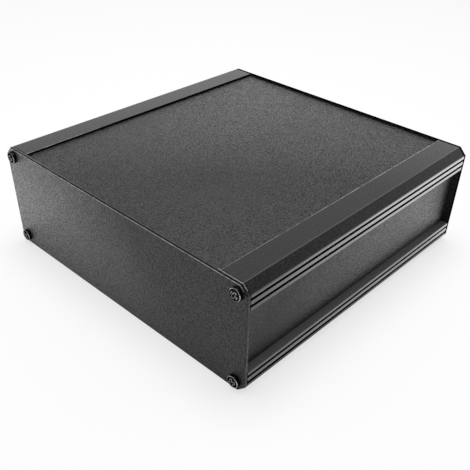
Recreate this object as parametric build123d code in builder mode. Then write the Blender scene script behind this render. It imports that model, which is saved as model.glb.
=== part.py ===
from build123d import *
import os

# Extruded aluminium instrument case. Millimetres, +Z up. X runs along the rails,
# the grooved front faces -Y, and the underside of the rails lies on Z = 0.

# Envelope
rail_length = 245.0  # between the end plates
body_depth = 250.0  # over the grooved faces of the front and rear rails
body_height = 84.0

# Corner rail, measured from its outer corner
corner_chamfer = 5.8  # height and width of the sloping corner face
outer_ridge = 2.2  # heights of the three ridges on the upright face
middle_ridge = 3.1
lip_ridge = 2.7
groove_width = 1.8
groove_depth = 1.8
flat_leg_reach = 23.9  # width of the leg that lies along the top or underside
flat_lip = 1.5  # metal outside the top and bottom panels
grooved_lip = 5.8  # metal outside the front and rear panels
inner_lip = 1.6  # metal behind every panel
flat_slot_depth = 10.0
upright_slot_depth = 5.5
edge_radius = 0.3

# Screw port of the rail
screw_from_side = 8.2
screw_from_flat = 7.2
port_wall = 2.0

# Circuit board guide inside the rail
guide_gap = 2.0
guide_rib = 1.2
guide_depth = 2.5

# Panels
panel_thickness = 2.0
slide_clearance = 0.1  # each side of a panel in its slot
panel_side_clearance = 0.4  # from a panel's edge to the bottom of its slot
panel_end_clearance = 0.2  # from a panel's end to the end plate

# End plates
plate_thickness = 3.0
plate_edge_break = 0.6  # along the outer and inner edges of the rim
screw_hole_clearance = 0.25  # all round the screw

# Pan-head screw
thread_diameter = 5.0
thread_clearance = 0.05  # all round, between the thread crests and the port
screw_length = 12.0  # under the head
head_diameter = 9.2
head_height = 3.3
head_edge_break = 0.9
recess_width = 5.0
recess_slot = 1.3
recess_depth = 2.2
recess_taper = 9.0  # degrees

slot_width = panel_thickness + 2 * slide_clearance
first_groove = corner_chamfer + outer_ridge
second_groove = first_groove + groove_width + middle_ridge
upright_leg_reach = second_groove + groove_width + lip_ridge
flat_leg_thickness = flat_lip + slot_width + inner_lip
upright_leg_thickness = grooved_lip + slot_width + inner_lip
port_radius = thread_diameter / 2 + thread_clearance

os.makedirs("parts", exist_ok=True)


def finish(piece, name):
    """Labels a finished piece and writes its file."""
    piece.label = name
    export_step(piece, f"parts/{name}.step")


# Corner rail: the section stands at the front bottom corner, its outer corner at the sketch's origin
rail_end = Plane((-rail_length / 2, -body_depth / 2, 0), x_dir=(0, 1, 0), z_dir=(1, 0, 0))
with BuildPart() as front_bottom_rail:
    with BuildSketch(rail_end) as section:
        Rectangle(flat_leg_reach, flat_leg_thickness, align=Align.MIN)
        Rectangle(upright_leg_thickness, upright_leg_reach, align=Align.MIN)
        with Locations((screw_from_side, screw_from_flat)):
            Circle(port_radius + port_wall)

        # Outer corner, cut off at 45 degrees
        with BuildLine():
            Polyline((0, 0), (corner_chamfer, 0), (0, corner_chamfer), close=True)
        make_face(mode=Mode.SUBTRACT)

        # Two ribs that guide the edge of a circuit board
        for rib_top in (upright_leg_reach, upright_leg_reach - guide_rib - guide_gap):
            with Locations((upright_leg_thickness, rib_top)):
                Rectangle(guide_depth, guide_rib, align=(Align.MIN, Align.MAX))

        # Grooves in the upright face
        for groove_start in (first_groove, second_groove):
            with Locations((0, groove_start)):
                Rectangle(groove_depth, groove_width, align=Align.MIN, mode=Mode.SUBTRACT)

        # Panel slots and screw port
        with Locations((flat_leg_reach, flat_lip)):
            Rectangle(flat_slot_depth, slot_width, align=(Align.MAX, Align.MIN), mode=Mode.SUBTRACT)
        with Locations((grooved_lip, upright_leg_reach)):
            Rectangle(slot_width, upright_slot_depth, align=(Align.MIN, Align.MAX), mode=Mode.SUBTRACT)
        with Locations((screw_from_side, screw_from_flat)):
            Circle(port_radius, mode=Mode.SUBTRACT)

        # Every outside edge of the section has a small die radius
        outside = section.vertices().group_by(Axis.X)[0] + section.vertices().group_by(Axis.Y)[0]
        fillet(outside, edge_radius)
    extrude(amount=rail_length)

middle_height = Plane.XY.offset(body_height / 2)
with BuildPart() as rear_bottom_rail:
    mirror(front_bottom_rail.part, about=Plane.XZ)
with BuildPart() as front_top_rail:
    mirror(front_bottom_rail.part, about=middle_height)
with BuildPart() as rear_top_rail:
    mirror(rear_bottom_rail.part, about=middle_height)

finish(front_bottom_rail.part, "front_bottom_rail")
finish(rear_bottom_rail.part, "rear_bottom_rail")
finish(front_top_rail.part, "front_top_rail")
finish(rear_top_rail.part, "rear_top_rail")

# Top and bottom panels lie on the lower face of their slots
panel_length = rail_length - 2 * panel_end_clearance
flat_slot_bottom = flat_leg_reach - flat_slot_depth
flat_panel_width = body_depth - 2 * (flat_slot_bottom + panel_side_clearance)
bottom_panel_base = flat_lip
top_panel_base = body_height - flat_lip - slot_width

with BuildPart() as bottom_panel:
    with BuildSketch(Plane.XY.offset(bottom_panel_base)):
        Rectangle(panel_length, flat_panel_width)
    extrude(amount=panel_thickness)
finish(bottom_panel.part, "bottom_panel")

with BuildPart() as top_panel:
    with BuildSketch(Plane.XY.offset(top_panel_base)):
        Rectangle(panel_length, flat_panel_width)
    extrude(amount=panel_thickness)
finish(top_panel.part, "top_panel")

# Front and rear panels stand on the bottom of the lower slots
upright_slot_bottom = upright_leg_reach - upright_slot_depth
upright_panel_height = body_height - 2 * upright_slot_bottom - panel_side_clearance
front_panel_face = -body_depth / 2 + grooved_lip + slide_clearance

with BuildPart() as front_panel:
    with BuildSketch(Plane.XY.offset(upright_slot_bottom)):
        with Locations((0, front_panel_face)):
            Rectangle(panel_length, panel_thickness, align=(Align.CENTER, Align.MIN))
    extrude(amount=upright_panel_height)
finish(front_panel.part, "front_panel")

with BuildPart() as rear_panel:
    mirror(front_panel.part, about=Plane.XZ)
finish(rear_panel.part, "rear_panel")

# End plates: the outline of the closed case, with a hole for each screw
screw_spacing_y = body_depth - 2 * screw_from_side
screw_spacing_z = body_height - 2 * screw_from_flat

with BuildPart() as right_end_plate:
    with BuildSketch(Plane.YZ.offset(rail_length / 2)) as outline:
        with Locations((0, body_height / 2)):
            Rectangle(body_depth, body_height)
        chamfer(outline.vertices(), corner_chamfer)
        with Locations((0, body_height / 2)):
            with GridLocations(screw_spacing_y, screw_spacing_z, 2, 2):
                Circle(thread_diameter / 2 + screw_hole_clearance, mode=Mode.SUBTRACT)
    extrude(amount=plate_thickness)
    flat_faces = right_end_plate.faces().sort_by(Axis.X)
    rim_edges = flat_faces[0].outer_wire().edges() + flat_faces[-1].outer_wire().edges()
    chamfer(rim_edges, plate_edge_break)
finish(right_end_plate.part, "right_end_plate")

with BuildPart() as left_end_plate:
    mirror(right_end_plate.part, about=Plane.YZ)
finish(left_end_plate.part, "left_end_plate")

# Pan-head screw, made head up with the seat of its head at the origin
with BuildPart() as screw:
    with BuildSketch():
        Circle(head_diameter / 2)
    extrude(amount=head_height)
    chamfer(screw.edges().sort_by(Axis.Z)[-1], head_edge_break)
    with BuildSketch():
        Circle(thread_diameter / 2)
    extrude(amount=-screw_length)
    with BuildSketch(Plane.XY.offset(head_height)):
        Rectangle(recess_width, recess_slot)
        Rectangle(recess_slot, recess_width)
    extrude(amount=-recess_depth, taper=recess_taper, mode=Mode.SUBTRACT)

# The same screw at each corner of both end plates
plate_outer_face = rail_length / 2 + plate_thickness
for end_name, end_side in (("left", -1), ("right", 1)):
    for face_name, face_side in (("front", -1), ("rear", 1)):
        for level_name, level_side in (("bottom", -1), ("top", 1)):
            seat = Plane(
                origin=(
                    end_side * plate_outer_face,
                    face_side * screw_spacing_y / 2,
                    body_height / 2 + level_side * screw_spacing_z / 2,
                ),
                x_dir=(0, 1, 0),
                z_dir=(end_side, 0, 0),
            )
            with BuildPart() as corner_screw:
                with Locations(seat):
                    add(screw.part)
            finish(corner_screw.part, f"screw_{end_name}_{face_name}_{level_name}")
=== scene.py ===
# Extruded aluminium instrument case: four black anodised corner rails, sandblasted panels slid
# into their slots, and two end plates, each held by four black pan-head screws that run into
# the rails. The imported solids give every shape; this script gives the finishes and the screws.
import math
import bmesh
import bpy
from mathutils import Matrix, Vector


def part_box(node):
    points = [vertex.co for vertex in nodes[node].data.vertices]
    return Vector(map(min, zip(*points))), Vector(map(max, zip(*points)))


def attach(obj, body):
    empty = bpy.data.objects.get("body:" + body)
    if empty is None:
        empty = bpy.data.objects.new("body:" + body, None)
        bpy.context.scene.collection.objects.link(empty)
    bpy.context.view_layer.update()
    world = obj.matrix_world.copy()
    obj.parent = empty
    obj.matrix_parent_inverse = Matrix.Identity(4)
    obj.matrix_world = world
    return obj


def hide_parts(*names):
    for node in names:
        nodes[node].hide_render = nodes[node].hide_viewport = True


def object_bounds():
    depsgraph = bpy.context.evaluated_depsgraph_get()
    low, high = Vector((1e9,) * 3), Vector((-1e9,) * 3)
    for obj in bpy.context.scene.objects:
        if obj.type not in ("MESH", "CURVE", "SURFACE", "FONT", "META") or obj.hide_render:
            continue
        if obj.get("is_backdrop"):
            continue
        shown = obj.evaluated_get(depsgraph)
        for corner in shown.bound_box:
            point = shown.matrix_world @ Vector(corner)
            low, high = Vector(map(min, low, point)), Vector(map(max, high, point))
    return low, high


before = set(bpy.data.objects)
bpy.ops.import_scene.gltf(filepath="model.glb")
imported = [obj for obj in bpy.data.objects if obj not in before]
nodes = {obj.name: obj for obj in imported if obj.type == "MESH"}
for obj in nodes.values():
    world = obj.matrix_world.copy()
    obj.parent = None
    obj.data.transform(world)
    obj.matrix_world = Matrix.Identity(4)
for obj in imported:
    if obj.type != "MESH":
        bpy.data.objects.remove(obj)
cad_low, cad_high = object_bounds()

# Corner rails
# One extrusion of 6063 aluminium cut to length four times, etched and anodised black. The die
# leaves faint lines along its length, and the ridges are rubbed brighter than the flats. Shade is
# painted into the grooves, the lip ends and the lower ridges, a painted reflection lightens the
# ridges towards +X, and painted highlights run along the chamfer and the inner lips.
rail_names = ("front_bottom_rail", "front_top_rail", "rear_bottom_rail", "rear_top_rail")

# the section, in metres from its outer corner and behind its grooved face
corner_chamfer = 0.0058
grooves_start, grooves_end = 0.0079, 0.0148
upright_leg_reach = 0.0174
ridge_skin = 0.0004  # as deep as this is still the face of a ridge
groove_shoulder, groove_floor = 0.00008, 0.0025  # between these depths a groove is black, as painted shade
flush = 0.0001  # a point this near to a flat face lies on it
edge_round = 0.0004  # the painted highlight along the chamfer lies this far past it
edge_mark_width = 0.0006

# dye and bare metal, a paler grey on the ledges, painted shade, painted highlights and a painted
# reflection
rail_black = (0.001, 0.001, 0.0015, 1.0)
rail_black_light = (0.016, 0.016, 0.0165, 1.0)
ridge_grey = (0.14, 0.141, 0.143, 1.0)
ridge_reflection_grey = (0.48, 0.48, 0.485, 1.0)
ledge_grey = (0.13, 0.13, 0.131, 1.0)
painted_shade_black = (0.002, 0.002, 0.002, 1.0)
lip_highlight_grey = (0.60, 0.60, 0.60, 1.0)
chamfer_highlight_grey = (0.045, 0.045, 0.045, 1.0)
white = (1.0, 1.0, 1.0, 1.0)
black = (0.0, 0.0, 0.0, 1.0)

# surface: gloss is (facing where it starts, facing where it is full, most)
rail_roughness = (0.24, 0.32)
painted_shade_roughness = 0.35  # added where shade is painted
rail_gloss = (0.47, 0.33, 0.28)
ridge_gloss = (0.50, 0.40, 1.0)
uneven_rail = (0.6, 1.4)
die_line_size = (0.25, 0.0009, 0.0009)
highlight_break_size = (0.004, 0.0012, 0.0012)
rail_grain = 0.0012
rail_grain_height = 0.00016
speckle_edges = (0.42, 0.58)  # where a hard-edged grain turns from dark to light
soft_edges = (0.3, 0.7)  # the same for a soft one

# painted highlight and reflection, broken up: (from, to, share at from, share at to)
highlight_breakup = (0.38, 0.58, 0.25, 1.0)  # of a noise
front_lip_highlight = (-0.12, 0.04, 0.35, 1.0)  # along x
rear_lip_highlight = (-0.11, -0.03, 0.6, 0.0)  # along x
# along x; a guess, it may be the light instead
ridge_painted_reflection = (-0.02, 0.11, 0.0, 1.0)  # along x; painted reflection, paler towards +X

# tones: the same four values, set so that each ridge is as bright as in the photograph; where
# they fall below 1 they are painted shade on the lip ridges, the lowest ridge and the lower rail
lip_ridge_shade = (0.0135, 0.0141, 1.0, 0.8)  # from the rail's outer corner
lowest_ridge_shade = (0.0085, 0.0092, 0.35, 1.0)  # along z
lower_rail_shade = (0.03, 0.04, 0.8, 1.0)  # along z


def add_node(tree, kind, **sockets):
    """A shader node with its unlinked sockets set by name."""
    made = tree.nodes.new(kind)
    for name, value in sockets.items():
        made.inputs[name.replace("_", " ")].default_value = value
    return made


def new_finish(name, **sockets):
    """A material, its node tree and its shader, with the shader's sockets set by name."""
    finish = bpy.data.materials.new(name)
    finish.use_nodes = True
    shader = finish.node_tree.nodes["Principled BSDF"]
    for socket, value in sockets.items():
        shader.inputs[socket.replace("_", " ")].default_value = value
    return finish, finish.node_tree, shader


def feed(tree, shader, **sources):
    """Links each source to the shader's socket of that name."""
    for name, source in sources.items():
        tree.links.new(source, shader.inputs[name.replace("_", " ")])


def maths(tree, operation, first, second=None):
    """One Math node; first and second are sockets or numbers."""
    made = tree.nodes.new("ShaderNodeMath")
    made.operation = operation
    for place, value in enumerate((first, second)):
        if isinstance(value, bpy.types.NodeSocket):
            tree.links.new(value, made.inputs[place])
        elif value is not None:
            made.inputs[place].default_value = value
    return made.outputs[0]


def product(tree, first, *others):
    """All the values multiplied."""
    for other in others:
        first = maths(tree, "MULTIPLY", first, other)
    return first


def highest(tree, first, *others):
    """The highest of the values."""
    for other in others:
        first = maths(tree, "MAXIMUM", first, other)
    return first


def above(tree, value, limit):
    """1 where the value is over the limit, else 0."""
    return maths(tree, "GREATER_THAN", value, limit)


def below(tree, value, limit):
    """1 where the value is under the limit, else 0."""
    return maths(tree, "LESS_THAN", value, limit)


def rest_of(tree, share):
    """What a share leaves of 1."""
    return maths(tree, "SUBTRACT", 1.0, share)


def away_from(tree, value, place):
    """How far a value is from a place, never negative."""
    return maths(tree, "ABSOLUTE", maths(tree, "SUBTRACT", value, place))


def position(tree):
    """The point on the piece, in metres in its own frame, and its three parts."""
    coordinates = tree.nodes.new("ShaderNodeTexCoord").outputs["Object"]
    parts = tree.nodes.new("ShaderNodeSeparateXYZ")
    tree.links.new(coordinates, parts.inputs[0])
    return coordinates, parts.outputs


def from_top_or_foot(tree, z):
    """How far a point lies inside the nearer of the case's top and foot."""
    middle = cad_high.z / 2
    return maths(tree, "SUBTRACT", middle, away_from(tree, z, middle))


def from_front_or_rear(tree, y):
    """How far a point lies behind the nearer of the case's grooved faces."""
    return maths(tree, "SUBTRACT", cad_high.y, maths(tree, "ABSOLUTE", y))


def stretched_noise(tree, coordinates, size, detail=2.0):
    """Noise whose grains measure size = (x, y, z) metres, as a value from 0 to 1."""
    mapping = tree.nodes.new("ShaderNodeMapping")
    mapping.inputs["Scale"].default_value = [1 / s for s in size]
    tree.links.new(coordinates, mapping.inputs["Vector"])
    noise = add_node(tree, "ShaderNodeTexNoise", Scale=1.0, Detail=detail, Roughness=0.55)
    tree.links.new(mapping.outputs[0], noise.inputs["Vector"])
    return noise.outputs["Fac"]


def even_noise(tree, coordinates, size, detail=2.0):
    """Noise whose grains measure size metres every way."""
    return stretched_noise(tree, coordinates, (size, size, size), detail)


def spread(tree, value, low, high, new_low, new_high):
    """Maps a value's range onto another one, clamped."""
    made = add_node(tree, "ShaderNodeMapRange",
                    From_Min=low, From_Max=high, To_Min=new_low, To_Max=new_high)
    tree.links.new(value, made.inputs["Value"])
    return made.outputs[0]


def speckle(tree, grain, dark=0.0, light=1.0):
    """Grain turned into small hard-edged patches, from dark to light."""
    return spread(tree, grain, *speckle_edges, dark, light)


def blend_colour(tree, factor, first, second):
    """Mixes two colours, each a socket or four numbers."""
    made = tree.nodes.new("ShaderNodeMix")
    made.data_type = "RGBA"
    tree.links.new(factor, made.inputs[0])
    for place, value in ((6, first), (7, second)):
        if isinstance(value, bpy.types.NodeSocket):
            tree.links.new(value, made.inputs[place])
        else:
            made.inputs[place].default_value = value
    return made.outputs[2]


def near_line(tree, first, second, at_first, at_second, width, solid=0.6):
    """1 within solid * width of the line where first = at_first and second = at_second, and
    fading to 0 at width."""
    across = away_from(tree, first, at_first)
    along = away_from(tree, second, at_second)
    return spread(tree, highest(tree, across, along), width * solid, width, 1.0, 0.0)


def bump(tree, heights, distance, strength=1.0):
    """A normal bent by a height from 0 to 1, where 1 is distance metres."""
    made = add_node(tree, "ShaderNodeBump", Strength=strength, Distance=distance)
    tree.links.new(heights, made.inputs["Height"])
    return made.outputs[0]


def gloss_towards_edge(tree, starts, full, most):
    """Gloss that grows from none to most as a face turns away, from facing starts to full."""
    weight = add_node(tree, "ShaderNodeLayerWeight", Blend=0.5)
    return spread(tree, weight.outputs["Facing"], 1 - starts, 1 - full, 0.0, most)


def dress(names, material):
    """Puts a material in every slot of the named solids."""
    for name in names:
        for slot in nodes[name].material_slots:
            slot.link = "OBJECT"
            slot.material = material


rail_finish, tree, shader = new_finish(
    "black anodised extrusion", IOR=1.45, Coat_IOR=4.0, Coat_Roughness=0.25)
rail_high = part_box("front_bottom_rail")[1]
flat_leg_reach = rail_high.y - cad_low.y
point, (x, y, z) = position(tree)
from_edge = from_top_or_foot(tree, z)
from_face = from_front_or_rear(tree, y)
grain = even_noise(tree, point, rail_grain)

# where the ridges, the ledges beside the panels, the grooves and the lips lie
ridge_faces = below(tree, from_face, ridge_skin)
ledge_faces = below(tree, away_from(tree, from_edge, upright_leg_reach), flush)
lip_ends = below(tree, away_from(tree, from_face, flat_leg_reach), flush)
groove_band = product(
    tree, above(tree, from_edge, grooves_start), below(tree, from_edge, grooves_end))
groove_depths = product(
    tree, above(tree, from_face, groove_shoulder), below(tree, from_face, groove_floor))
# painted shade: the grooves and the lip ends are made black and unreflecting
painted_shade = highest(tree, product(tree, groove_band, groove_depths), lip_ends)
# painted highlight along the inner lip
inner_lip = near_line(tree, from_face, from_edge, flat_leg_reach, 0.0, edge_mark_width)
# painted highlight along the chamfer's edge
chamfer_highlight = near_line(tree, from_face, from_edge, corner_chamfer + edge_round, 0.0, edge_mark_width)

# painted highlight along the lips, and painted shade and reflection on the ridges
front_highlight = product(tree, below(tree, y, 0.0), spread(tree, x, *front_lip_highlight))
rear_highlight = product(tree, above(tree, y, 0.0), spread(tree, x, *rear_lip_highlight))
highlight_breaks = spread(tree, stretched_noise(tree, point, highlight_break_size, detail=3.0), *highlight_breakup)
lip_highlight = product(tree, inner_lip, highlight_breaks, maths(tree, "ADD", front_highlight, rear_highlight))
# the ridges' metal, with painted shade on the lip ridges, the lowest ridge and the lower rail
ridge_metal_share_and_shade = product(
    tree,
    spread(tree, from_edge, *lip_ridge_shade),
    spread(tree, z, *lowest_ridge_shade),
    spread(tree, z, *lower_rail_shade),
    ridge_faces)
# painted reflection: the ridges turn paler towards +X
ridge_metal_and_reflection = blend_colour(tree, spread(tree, x, *ridge_painted_reflection), ridge_grey, ridge_reflection_grey)

colour = blend_colour(tree, speckle(tree, grain), rail_black, rail_black_light)
colour = blend_colour(tree, chamfer_highlight, colour, chamfer_highlight_grey)
colour = blend_colour(tree, ridge_metal_share_and_shade, colour, ridge_metal_and_reflection)
colour = blend_colour(tree, ledge_faces, colour, ledge_grey)
colour = blend_colour(tree, painted_shade, colour, painted_shade_black)
colour = blend_colour(tree, lip_highlight, colour, lip_highlight_grey)

die_lines = stretched_noise(tree, point, die_line_size, detail=3.0)
roughness = spread(tree, die_lines, *soft_edges, *rail_roughness)
flat_gloss = product(
    tree, gloss_towards_edge(tree, *rail_gloss), rest_of(tree, painted_shade),
    speckle(tree, grain, *uneven_rail))
gloss_of_ridges = product(tree, gloss_towards_edge(tree, *ridge_gloss), ridge_metal_share_and_shade)
grain_relief = bump(tree, grain, rail_grain_height)
feed(
    tree, shader,
    Base_Color=colour,
    Metallic=highest(tree, painted_shade, ridge_faces),
    Roughness=maths(tree, "ADD", roughness, product(tree, painted_shade, painted_shade_roughness)),
    Normal=grain_relief,
    Specular_Tint=blend_colour(tree, painted_shade, white, black),
    Coat_Weight=highest(tree, flat_gloss, gloss_of_ridges),
    Coat_Normal=grain_relief)
dress(rail_names, rail_finish)

# Panels
# Flat sheets of 2 mm aluminium, sandblasted and anodised black. They slide along the slots of
# the rails and are shut in by the end plates, with no fastening of their own.
panel_names = ("top_panel", "bottom_panel", "front_panel", "rear_panel")
upright_depth = 0.009  # the front and rear panels lie within this of the grooved faces
sheet_black = (0.001, 0.001, 0.001, 1.0)
sheet_black_light = (0.028, 0.0285, 0.029, 1.0)
# the upright panels get a lighter copy of the sheet's colour: painted light
upright_lit_black = (0.016, 0.016, 0.016, 1.0)
upright_lit_black_light = (0.040, 0.041, 0.041, 1.0)
blast_size = 0.0012
fine_blast_size = 0.0006
blast_height = 0.00055
cloud_size = 0.06
panel_roughness = (0.32, 0.40)
panel_gloss = (0.47, 0.34, 0.68)
uneven_panel = (0.55, 1.45)
upright_lit_gloss_gain = 1.35  # painted light, set by the photograph, as the upright colours are
flat_fine_speckle, upright_fine_speckle = 0.9, 0.35

panel_finish, tree, shader = new_finish(
    "sandblasted black sheet", IOR=1.42, Coat_IOR=2.0, Coat_Roughness=0.10)
point, (x, y, z) = position(tree)
upright = below(tree, from_front_or_rear(tree, y), upright_depth)
blast = even_noise(tree, point, blast_size, detail=3.0)
fine_blast = even_noise(tree, point, fine_blast_size)
clouds = even_noise(tree, point, cloud_size)

flat_colour = blend_colour(tree, speckle(tree, blast), sheet_black, sheet_black_light)
# painted light: the upright panels are lighter than the flat ones
upright_lit_colour = blend_colour(tree, speckle(tree, blast), upright_lit_black, upright_lit_black_light)
fine_speckle = product(
    tree, speckle(tree, fine_blast, -0.5, 0.5),
    spread(tree, upright, 0.0, 1.0, flat_fine_speckle, upright_fine_speckle))
blast_relief = bump(tree, blast, blast_height)
feed(
    tree, shader,
    Base_Color=blend_colour(tree, upright, flat_colour, upright_lit_colour),
    Roughness=spread(tree, clouds, *soft_edges, *panel_roughness),
    Normal=blast_relief,
    Specular_IOR_Level=maths(tree, "ADD", fine_speckle, 0.5),
    Coat_Weight=product(
        tree, gloss_towards_edge(tree, *panel_gloss), speckle(tree, blast, *uneven_panel),
        spread(tree, upright, 0.0, 1.0, 1.0, upright_lit_gloss_gain)),
    Coat_Normal=blast_relief)
dress(panel_names, panel_finish)

# End plates
# Plates of 3 mm aluminium cut to the outline of the closed case, their edges broken, blasted
# and anodised black. Four screws hold each one against the ends of the rails.
plate_names = ("left_end_plate", "right_end_plate")
plate_thickness = 0.003
plate_edge_break = 0.0006
bevel_reach = plate_edge_break * 0.95
outer_line_depth = plate_edge_break * 0.85
line_behind_depth = plate_edge_break * 1.1
edge_line_width = 0.00045
top_wear_reach = corner_chamfer * 0.6
front_wear_reach = 0.002  # past the inner edge of the front rail
plate_black = (0.001, 0.001, 0.001, 1.0)
plate_black_light = (0.025, 0.026, 0.026, 1.0)
wear_and_highlight_grey = (0.42, 0.42, 0.42, 1.0)
plate_gloss = (0.50, 0.38, 0.75)
uneven_plate = (0.6, 1.4)
foot_painted_shade = (0.0, 0.045, 0.52, 1.0)  # along z; painted shade, less gloss towards the foot, set by the photograph as the ridges are
plate_fine_speckle = (0.08, 0.92)
rubbing_size = 0.0013
rubbing = (0.35, 0.65, 0.25, 1.0)


def lowest(tree, first, *others):
    """The lowest of the values."""
    for other in others:
        first = maths(tree, "MINIMUM", first, other)
    return first


plate_finish, tree, shader = new_finish(
    "blasted black plate", IOR=1.42, Roughness=0.28, Coat_IOR=2.0, Coat_Roughness=0.16)
point, (x, y, z) = position(tree)
blast = even_noise(tree, point, blast_size, detail=3.0)
fine_blast = even_noise(tree, point, fine_blast_size)

# how deep a point lies inside the plate's outline, and behind its outer face
from_edge = from_top_or_foot(tree, z)
from_side = from_front_or_rear(tree, y)
past_chamfer = maths(tree, "SUBTRACT", maths(tree, "ADD", from_side, from_edge), corner_chamfer)
depth = lowest(tree, from_side, from_edge, product(tree, past_chamfer, math.sqrt(0.5)))
from_centre = maths(tree, "ABSOLUTE", x)
from_outside = maths(tree, "SUBTRACT", rail_high.x + plate_thickness, from_centre)

# the broken edges: painted shade behind and all round the right plate's rim; pale lines along
# the top of the left plate, partly wear and partly painted highlight
near_rim = below(tree, depth, bevel_reach)
inner_bevel = product(tree, near_rim, below(tree, from_centre, rail_high.x + bevel_reach))
outer_line = near_line(tree, depth, from_outside, outer_line_depth, 0.0, edge_line_width)
line_behind = near_line(tree, depth, from_outside, 0.0, line_behind_depth, edge_line_width)
inner_line = near_line(
    tree, depth, from_centre, 0.0, rail_high.x + plate_edge_break, edge_mark_width)
right_plate = above(tree, x, 0.0)
top_of_left = product(
    tree, rest_of(tree, right_plate), above(tree, z, cad_high.z - top_wear_reach))
over_front_rail = below(tree, y, rail_high.y + front_wear_reach)
pale_edge_lines = highest(tree, outer_line, product(tree, inner_line, over_front_rail))
# pale lines on the left plate's top edges: partly wear, partly painted highlight
wear_and_highlight = product(
    tree, pale_edge_lines, top_of_left,
    spread(tree, even_noise(tree, point, rubbing_size, detail=3.0), *rubbing))
# painted shade on the edges behind the plate and round the right plate's rim
painted_shade_edges = highest(
    tree, inner_bevel, product(tree, line_behind, top_of_left),
    product(tree, near_rim, right_plate))
painted_shade = product(tree, painted_shade_edges, rest_of(tree, product(tree, inner_line, top_of_left)))

colour = blend_colour(tree, speckle(tree, blast), plate_black, plate_black_light)
colour = blend_colour(tree, wear_and_highlight, colour, wear_and_highlight_grey)
colour = blend_colour(tree, painted_shade, colour, painted_shade_black)
blast_relief = bump(tree, blast, blast_height)
feed(
    tree, shader,
    Base_Color=colour,
    Metallic=painted_shade,
    Normal=blast_relief,
    Specular_IOR_Level=speckle(tree, fine_blast, *plate_fine_speckle),
    Specular_Tint=blend_colour(tree, painted_shade, white, black),
    Coat_Weight=product(
        tree, gloss_towards_edge(tree, *plate_gloss), rest_of(tree, painted_shade),
        speckle(tree, blast, *uneven_plate), spread(tree, z, *foot_painted_shade)),
    Coat_Normal=blast_relief)
dress(plate_names, plate_finish)

# Screws
# M5 pan-head machine screws with a cross recess, cold formed from steel wire with a rolled
# thread and zinc plated black. One mesh is made, head up, and set at each corner of both plates.
head_radius = 0.0046
head_side = 0.0023
head_height = 0.0033
foot_break = 0.0002
rim_radius = 0.0006
rim_points, rim_step_degrees = 6, 14
crown_steps = 8
round_steps = 96
recess_half_width = 0.0025
recess_half_slot = 0.00065
recess_depth = 0.0022
punch_overshoot = 0.0003
shank_length = 0.012
thread_crest = 0.0025
thread_root = 0.00205
thread_pitch = 0.0008
thread_runout = 0.0009
blunt_end = thread_root * 0.8
thread_steps = 32
sharp_edge_degrees = 35


def head_form():
    """The head, turned about +Z: a short side, a rounded rim and a low crown."""
    profile = [(0.0, 0.0), (head_radius - foot_break, 0.0), (head_radius, foot_break)]
    for step in range(rim_points):
        angle = math.radians(step * rim_step_degrees)
        inwards = rim_radius * (1 - math.cos(angle))
        upwards = rim_radius * (math.sin(angle) - 1)
        profile.append((head_radius - inwards, head_side + upwards))
    crown_radius, crown_base = profile[-1]
    for step in range(1, crown_steps):
        out = 1 - step / crown_steps
        height = crown_base + (head_height - crown_base) * (1 - out ** 2)
        profile.append((crown_radius * out, height))
    profile.append((0.0, head_height))
    form = bmesh.new()
    corners = [form.verts.new((radius, 0, height)) for radius, height in profile]
    edges = [form.edges.new(pair) for pair in zip(corners, corners[1:])]
    bmesh.ops.spin(form, geom=corners + edges, axis=(0, 0, 1), angle=math.tau,
                   steps=round_steps, use_merge=True)
    return form


def recess_form():
    """The driver's cross, tapering to a blunt point."""
    form = bmesh.new()
    # (height, share of the full width, share of the full slot)
    levels = (
        (head_height + punch_overshoot, 1.05, 1.0),
        (head_height - recess_depth * 0.7, 0.70, 0.85),
        (head_height - recess_depth, 0.28, 0.80),
    )
    rings = []
    for height, wing, slot in levels:
        reach, half_slot = recess_half_width * wing, recess_half_slot * slot
        ring = []
        for turn in range(4):
            for across, along in ((reach, -half_slot), (reach, half_slot), (half_slot, half_slot)):
                for _ in range(turn):
                    across, along = -along, across
                ring.append(form.verts.new((across, along, height)))
        rings.append(ring)
    for upper, lower in zip(rings, rings[1:]):
        for place in range(len(upper)):
            after = (place + 1) % len(upper)
            form.faces.new((upper[place], upper[after], lower[after], lower[place]))
    form.faces.new(rings[0])
    form.faces.new(list(reversed(rings[-1])))
    return form


def thread_form():
    """A right-hand 60 degree thread from just inside the head to a chamfered end."""
    form = bmesh.new()
    # (share of the pitch, radius)
    flank = (
        (0.0, thread_root), (0.12, thread_root),
        (0.44, thread_crest), (0.56, thread_crest), (0.88, thread_root),
    )
    inside_head = 0.0004
    turns = (shank_length + inside_head) / thread_pitch + 1
    rows = []
    for step in range(int(turns * thread_steps) + 1):
        angle = math.tau * step / thread_steps
        row = []
        for share, radius in flank:
            height = inside_head - (step / thread_steps - 1 + share) * thread_pitch
            height = min(max(height, -shank_length), inside_head)
            end_share = min(1.0, (shank_length + height) / thread_runout)
            reach = min(radius, blunt_end + (thread_crest - blunt_end) * end_share)
            row.append(form.verts.new((reach * math.cos(angle), -reach * math.sin(angle), height)))
        rows.append(row)
    for place in range(len(flank) - 1):
        for first, second in zip(rows, rows[1:]):
            form.faces.new((first[place], first[place + 1], second[place + 1], second[place]))
    for step in range(len(rows) - thread_steps - 1):
        above_row, next_above = rows[step], rows[step + 1]
        below_row, next_below = rows[step + thread_steps], rows[step + thread_steps + 1]
        form.faces.new((above_row[-1], below_row[0], next_below[0], next_above[-1]))
    form.faces.new([row[-1] for row in rows[-thread_steps:]])
    return form


def form_to_mesh(form, name):
    """Turns a finished form into a mesh with its faces outwards."""
    bmesh.ops.remove_doubles(form, verts=form.verts, dist=1e-7)
    bmesh.ops.recalc_face_normals(form, faces=form.faces)
    mesh = bpy.data.meshes.new(name)
    form.to_mesh(mesh)
    form.free()
    return mesh


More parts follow.
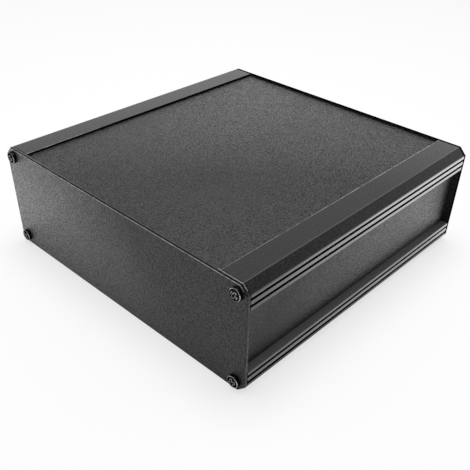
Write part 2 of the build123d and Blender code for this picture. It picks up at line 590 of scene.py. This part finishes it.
head = bpy.data.objects.new("head_blank", form_to_mesh(head_form(), "head_blank"))
punch = bpy.data.objects.new("recess_punch", form_to_mesh(recess_form(), "recess_punch"))
for blank in (head, punch):
    bpy.context.scene.collection.objects.link(blank)
cut = head.modifiers.new("recess", "BOOLEAN")
cut.operation = "DIFFERENCE"
cut.solver = "EXACT"
cut.object = punch
punched = head.evaluated_get(bpy.context.evaluated_depsgraph_get())
form = bmesh.new()
form.from_mesh(punched.to_mesh())
punched.to_mesh_clear()
thread_mesh = form_to_mesh(thread_form(), "rolled_thread")
form.from_mesh(thread_mesh)
bpy.data.meshes.remove(thread_mesh)
for blank in (head, punch):
    bpy.data.meshes.remove(blank.data)
screw_mesh = bpy.data.meshes.new("pan_head_screw")
form.to_mesh(screw_mesh)
form.free()
screw_mesh.shade_smooth()
screw_mesh.set_sharp_from_angle(angle=math.radians(sharp_edge_degrees))

# black zinc, rubbed to bare steel on the rim and beside the cross
zinc_black = (0.004, 0.004, 0.004, 1.0)
zinc_black_light = (0.03, 0.03, 0.03, 1.0)
bare_steel = (0.62, 0.62, 0.61, 1.0)
zinc_roughness, steel_roughness = 0.36, 0.24
pitting_size = 0.0005
pitting_height = 0.00003
rubbed_pits = (0.3, 0.6, 0.0, 1.0)
zinc_pits = (0.35, 0.65, 0.0, 1.0)
rubbed_rim_radius = head_radius - rim_radius * 0.95
rubbed_rim_height = head_side - rim_radius * 0.45
recess_edge_width = 0.00026
crown_depth = 0.0005


def outside_slot(tree, along, across):
    """How far a point lies outside one slot of the cross, negative inside it."""
    past_end = maths(tree, "SUBTRACT", maths(tree, "ABSOLUTE", along), recess_half_width)
    past_side = maths(tree, "SUBTRACT", maths(tree, "ABSOLUTE", across), recess_half_slot)
    return highest(tree, past_end, past_side)


screw_finish, tree, shader = new_finish("black zinc", IOR=1.5, Metallic=1.0)
point, (x, y, z) = position(tree)
pitting = even_noise(tree, point, pitting_size, detail=3.0)
squares = maths(tree, "ADD", product(tree, x, x), product(tree, y, y))
on_rim = product(
    tree, above(tree, maths(tree, "SQRT", squares), rubbed_rim_radius),
    above(tree, z, rubbed_rim_height))
outside_cross = lowest(tree, outside_slot(tree, x, y), outside_slot(tree, y, x))
beside_recess = product(
    tree, below(tree, outside_cross, recess_edge_width), above(tree, z, head_height - crown_depth))
wear_and_highlight = product(tree, highest(tree, on_rim, beside_recess), spread(tree, pitting, *rubbed_pits))
blackened = blend_colour(tree, spread(tree, pitting, *zinc_pits), zinc_black, zinc_black_light)
feed(
    tree, shader,
    Base_Color=blend_colour(tree, wear_and_highlight, blackened, bare_steel),
    Roughness=spread(tree, wear_and_highlight, 0.0, 1.0, zinc_roughness, steel_roughness),
    Normal=bump(tree, pitting, pitting_height, strength=0.5),
    Specular_Tint=blend_colour(tree, wear_and_highlight, black, white))
screw_mesh.materials.append(screw_finish)

# how far each screw was turned when it came tight, in degrees
screw_turns = {
    "left_front_bottom": 20, "left_front_top": 62, "left_rear_bottom": 35, "left_rear_top": 78,
    "right_front_bottom": 12, "right_front_top": 50, "right_rear_bottom": 71, "right_rear_top": 28,
}
for place, turned in screw_turns.items():
    low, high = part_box(f"screw_{place}")
    outward = 1 if place.startswith("right") else -1
    top_of_head = high.x if outward > 0 else low.x
    seat = Vector((
        top_of_head - outward * head_height, (low.y + high.y) / 2, (low.z + high.z) / 2))
    head_outwards = Vector((outward, 0, 0)).to_track_quat("Z", "Y")
    driven = Matrix.Rotation(math.radians(turned), 3, "Z").to_quaternion()
    piece = bpy.data.objects.new(f"pan_head_screw_{place}", screw_mesh)
    bpy.context.scene.collection.objects.link(piece)
    piece.matrix_world = Matrix.Translation(seat) @ (head_outwards @ driven).to_matrix().to_4x4()
    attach(piece, "root")
    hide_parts(f"screw_{place}")

# Table
# A flat white table top that carries on past the picture on every side. It glows a little where
# the camera or a reflection sees it, so that it comes out white and keeps the case's shadow.
table_half = 3.0
glow_share = 0.70
glow_in_reflections = 0.3
mesh = bpy.data.meshes.new("table")
corners = [(-table_half, -table_half, 0), (table_half, -table_half, 0),
           (table_half, table_half, 0), (-table_half, table_half, 0)]
mesh.from_pydata(corners, [], [(0, 1, 2, 3)])
table = bpy.data.objects.new("table", mesh)
bpy.context.scene.collection.objects.link(table)
table_white, tree, shader = new_finish(
    "table white", Base_Color=(0.86, 0.86, 0.86, 1.0), Roughness=0.7)
white_glow = add_node(tree, "ShaderNodeEmission", Color=white, Strength=1.0)
rays = tree.nodes.new("ShaderNodeLightPath").outputs
seen = highest(
    tree, rays["Is Camera Ray"], product(tree, rays["Is Glossy Ray"], glow_in_reflections))
blend = tree.nodes.new("ShaderNodeMixShader")
tree.links.new(product(tree, seen, glow_share), blend.inputs[0])
tree.links.new(shader.outputs[0], blend.inputs[1])
tree.links.new(white_glow.outputs[0], blend.inputs[2])
tree.links.new(blend.outputs[0], tree.nodes["Material Output"].inputs["Surface"])
mesh.materials.append(table_white)
table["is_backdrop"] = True

# Room and lamp
# A plain white room, bright behind the case and to its right, and dim on the camera's side,
# with a wide soft lamp hung over the table.
bright_side_degrees = 35.0  # counted from +X towards +Y
dim_wall = (0.08, 0.08, 0.082, 1.0)
bright_wall = (0.78, 0.78, 0.79, 1.0)
ceiling = (0.6, 0.6, 0.61, 1.0)
wall_turns = (0.0, 0.45)  # from the dim wall to the bright one
wall_ends = (0.45, 0.85)  # from the walls to the ceiling
lamp_side = 0.8
lamp_watts = 17.0
lamp_place = (0.1, 0.1, 1.5)

world = bpy.data.worlds.new("soft room")
bpy.context.scene.world = world
world.use_nodes = True
tree = world.node_tree
background = tree.nodes["Background"]
direction = tree.nodes.new("ShaderNodeTexCoord").outputs["Generated"]
parts = tree.nodes.new("ShaderNodeSeparateXYZ")
tree.links.new(direction, parts.inputs[0])
towards = tree.nodes.new("ShaderNodeVectorMath")
towards.operation = "DOT_PRODUCT"
bright_side = math.radians(bright_side_degrees)
towards.inputs[1].default_value = (math.cos(bright_side), math.sin(bright_side), 0)
tree.links.new(direction, towards.inputs[0])
walls = blend_colour(
    tree, spread(tree, towards.outputs["Value"], *wall_turns, 0.0, 1.0), dim_wall, bright_wall)
room = blend_colour(tree, spread(tree, parts.outputs["Z"], *wall_ends, 0.0, 1.0), walls, ceiling)
tree.links.new(room, background.inputs["Color"])
background.inputs["Strength"].default_value = 1.0

lamp_data = bpy.data.lights.new("overhead", "AREA")
lamp_data.shape = "RECTANGLE"
lamp_data.size = lamp_side
lamp_data.size_y = lamp_side
lamp_data.energy = lamp_watts
lamp = bpy.data.objects.new("overhead", lamp_data)
bpy.context.scene.collection.objects.link(lamp)
lamp.location = lamp_place
lamp.rotation_euler = (-lamp.location).to_track_quat("-Z", "Y").to_euler()

# Camera
# Solved from the straight edges of the case in the photograph, for a frame of 470 pixels. The
# photograph is a crop, so a small vertical shift sets the case where it stands in the frame.
frame_pixels = 470
focal_pixels = 656.1
shift_pixels = 40.0
sensor_width = 36.0
camera_place = (-0.33941, -0.31218, 0.30665)
camera_azimuth, camera_elevation, camera_roll = -47.295, 36.832, 1.538  # degrees

camera_data = bpy.data.cameras.new("camera")
camera_data.sensor_width = sensor_width
camera_data.lens = focal_pixels * sensor_width / frame_pixels
camera_data.shift_y = shift_pixels / frame_pixels
camera = bpy.data.objects.new("camera", camera_data)
bpy.context.scene.collection.objects.link(camera)
azimuth, elevation = math.radians(camera_azimuth), math.radians(camera_elevation)
level = math.cos(elevation)
backwards = Vector((math.sin(azimuth) * level, -math.cos(azimuth) * level, math.sin(elevation)))
roll = Matrix.Rotation(math.radians(camera_roll), 3, "Z").to_quaternion()
camera.location = camera_place
camera.rotation_mode = "QUATERNION"
camera.rotation_quaternion = (-backwards).to_track_quat("-Z", "Y") @ roll
bpy.context.scene.camera = camera
bpy.context.scene.view_settings.view_transform = "Standard"

low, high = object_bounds()
